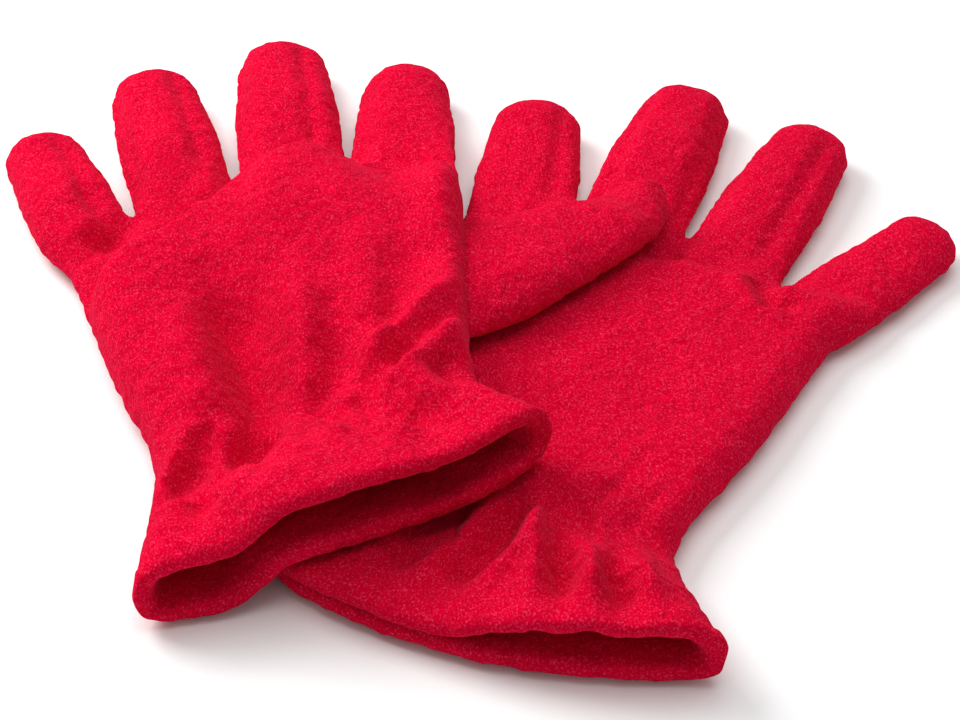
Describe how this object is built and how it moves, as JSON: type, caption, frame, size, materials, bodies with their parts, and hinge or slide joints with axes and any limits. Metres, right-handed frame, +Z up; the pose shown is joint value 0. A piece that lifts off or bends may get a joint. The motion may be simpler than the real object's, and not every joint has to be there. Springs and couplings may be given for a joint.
{
  "type": "pair of fleece gloves",
  "caption": "Pair of plain five-finger fleece gloves with gathered elastic wrists and flared hemmed cuffs, lying palm down with one glove over the other.",
  "frame": {"origin": "middle of the pair's footprint, on the surface that it lies on", "axes": "+Z up, +Y from the cuffs towards the fingertips, +X from the left glove to the right glove"},
  "size_m": [0.2542, 0.259, 0.0332],
  "materials": {
    "fleece_left": "soft raised fleece pile",
    "fleece_right": "soft raised fleece pile",
    "elastic": "ribbed sewing elastic"
  },
  "bodies": {
    "right_hand": {"right_hand_back": "fleece_right", "right_hand_palm": "fleece_right", "right_cuff_hem": "fleece_right", "right_wrist_elastic": "elastic", "right_thumb_back": "fleece_right", "right_thumb_palm": "fleece_right"},
    "right_index": {"right_index_back": "fleece_right", "right_index_fourchette_little_side": "fleece_right", "right_index_palm": "fleece_right"},
    "right_middle": {"right_middle_back": "fleece_right", "right_middle_fourchette_little_side": "fleece_right", "right_middle_fourchette_thumb_side": "fleece_right", "right_middle_palm": "fleece_right"},
    "right_ring": {"right_ring_back": "fleece_right", "right_ring_fourchette_little_side": "fleece_right", "right_ring_fourchette_thumb_side": "fleece_right", "right_ring_palm": "fleece_right"},
    "right_little": {"right_little_back": "fleece_right", "right_little_fourchette_thumb_side": "fleece_right", "right_little_palm": "fleece_right"},
    "left_hand": {"left_hand_back": "fleece_left", "left_hand_palm": "fleece_left", "left_cuff_hem": "fleece_left", "left_wrist_elastic": "elastic"},
    "left_index": {"left_index_back": "fleece_left", "left_index_fourchette_little_side": "fleece_left", "left_index_palm": "fleece_left"},
    "left_middle": {"left_middle_back": "fleece_left", "left_middle_fourchette_little_side": "fleece_left", "left_middle_fourchette_thumb_side": "fleece_left", "left_middle_palm": "fleece_left"},
    "left_ring": {"left_ring_back": "fleece_left", "left_ring_fourchette_little_side": "fleece_left", "left_ring_fourchette_thumb_side": "fleece_left", "left_ring_palm": "fleece_left"},
    "left_little": {"left_little_back": "fleece_left", "left_little_fourchette_thumb_side": "fleece_left", "left_little_palm": "fleece_left"},
    "left_thumb": {"left_thumb_back": "fleece_left", "left_thumb_palm": "fleece_left"}
  },
  "joints": [
    {"name": "left_glove_lift", "type": "slide", "parent": "right_hand", "child": "left_hand", "axis": [0, 0, 1], "range_m": [0, 0.15]},
    {"name": "right_index_fold", "type": "hinge", "parent": "right_hand", "child": "right_index", "pos_m": [0.01748, 0.05208, 0.01185], "axis": [0.9936, -0.1132, 0], "range_deg": [0, 60]},
    {"name": "right_middle_fold", "type": "hinge", "parent": "right_hand", "child": "right_middle", "pos_m": [0.04589, 0.04493, 0.01186], "axis": [0.9511, -0.309, 0], "range_deg": [0, 60]},
    {"name": "right_ring_fold", "type": "hinge", "parent": "right_hand", "child": "right_ring", "pos_m": [0.07096, 0.02807, 0.01186], "axis": [0.9063, -0.4226, 0], "range_deg": [0, 60]},
    {"name": "right_little_fold", "type": "hinge", "parent": "right_hand", "child": "right_little", "pos_m": [0.09112, 0.00766, 0.01186], "axis": [0.7071, -0.7071, 0], "range_deg": [0, 60]},
    {"name": "left_index_fold", "type": "hinge", "parent": "left_hand", "child": "left_index", "pos_m": [-0.01995, 0.07208, 0.01185], "axis": [1, 0.0087, 0], "range_deg": [0, 60]},
    {"name": "left_middle_fold", "type": "hinge", "parent": "left_hand", "child": "left_middle", "pos_m": [-0.04914, 0.0687, 0.01186], "axis": [0.9962, 0.0872, 0], "range_deg": [0, 60]},
    {"name": "left_ring_fold", "type": "hinge", "parent": "left_hand", "child": "left_ring", "pos_m": [-0.07654, 0.05597, 0.01186], "axis": [0.9659, 0.2588, 0], "range_deg": [0, 60]},
    {"name": "left_little_fold", "type": "hinge", "parent": "left_hand", "child": "left_little", "pos_m": [-0.10093, 0.04118, 0.01186], "axis": [0.91, 0.4147, 0], "range_deg": [0, 60]},
    {"name": "left_thumb_fold", "type": "hinge", "parent": "left_hand", "child": "left_thumb", "pos_m": [0.00316, -0.01701, 0.02294], "axis": [-0.0053, -1, 0], "range_deg": [0, 60]}
  ]
}
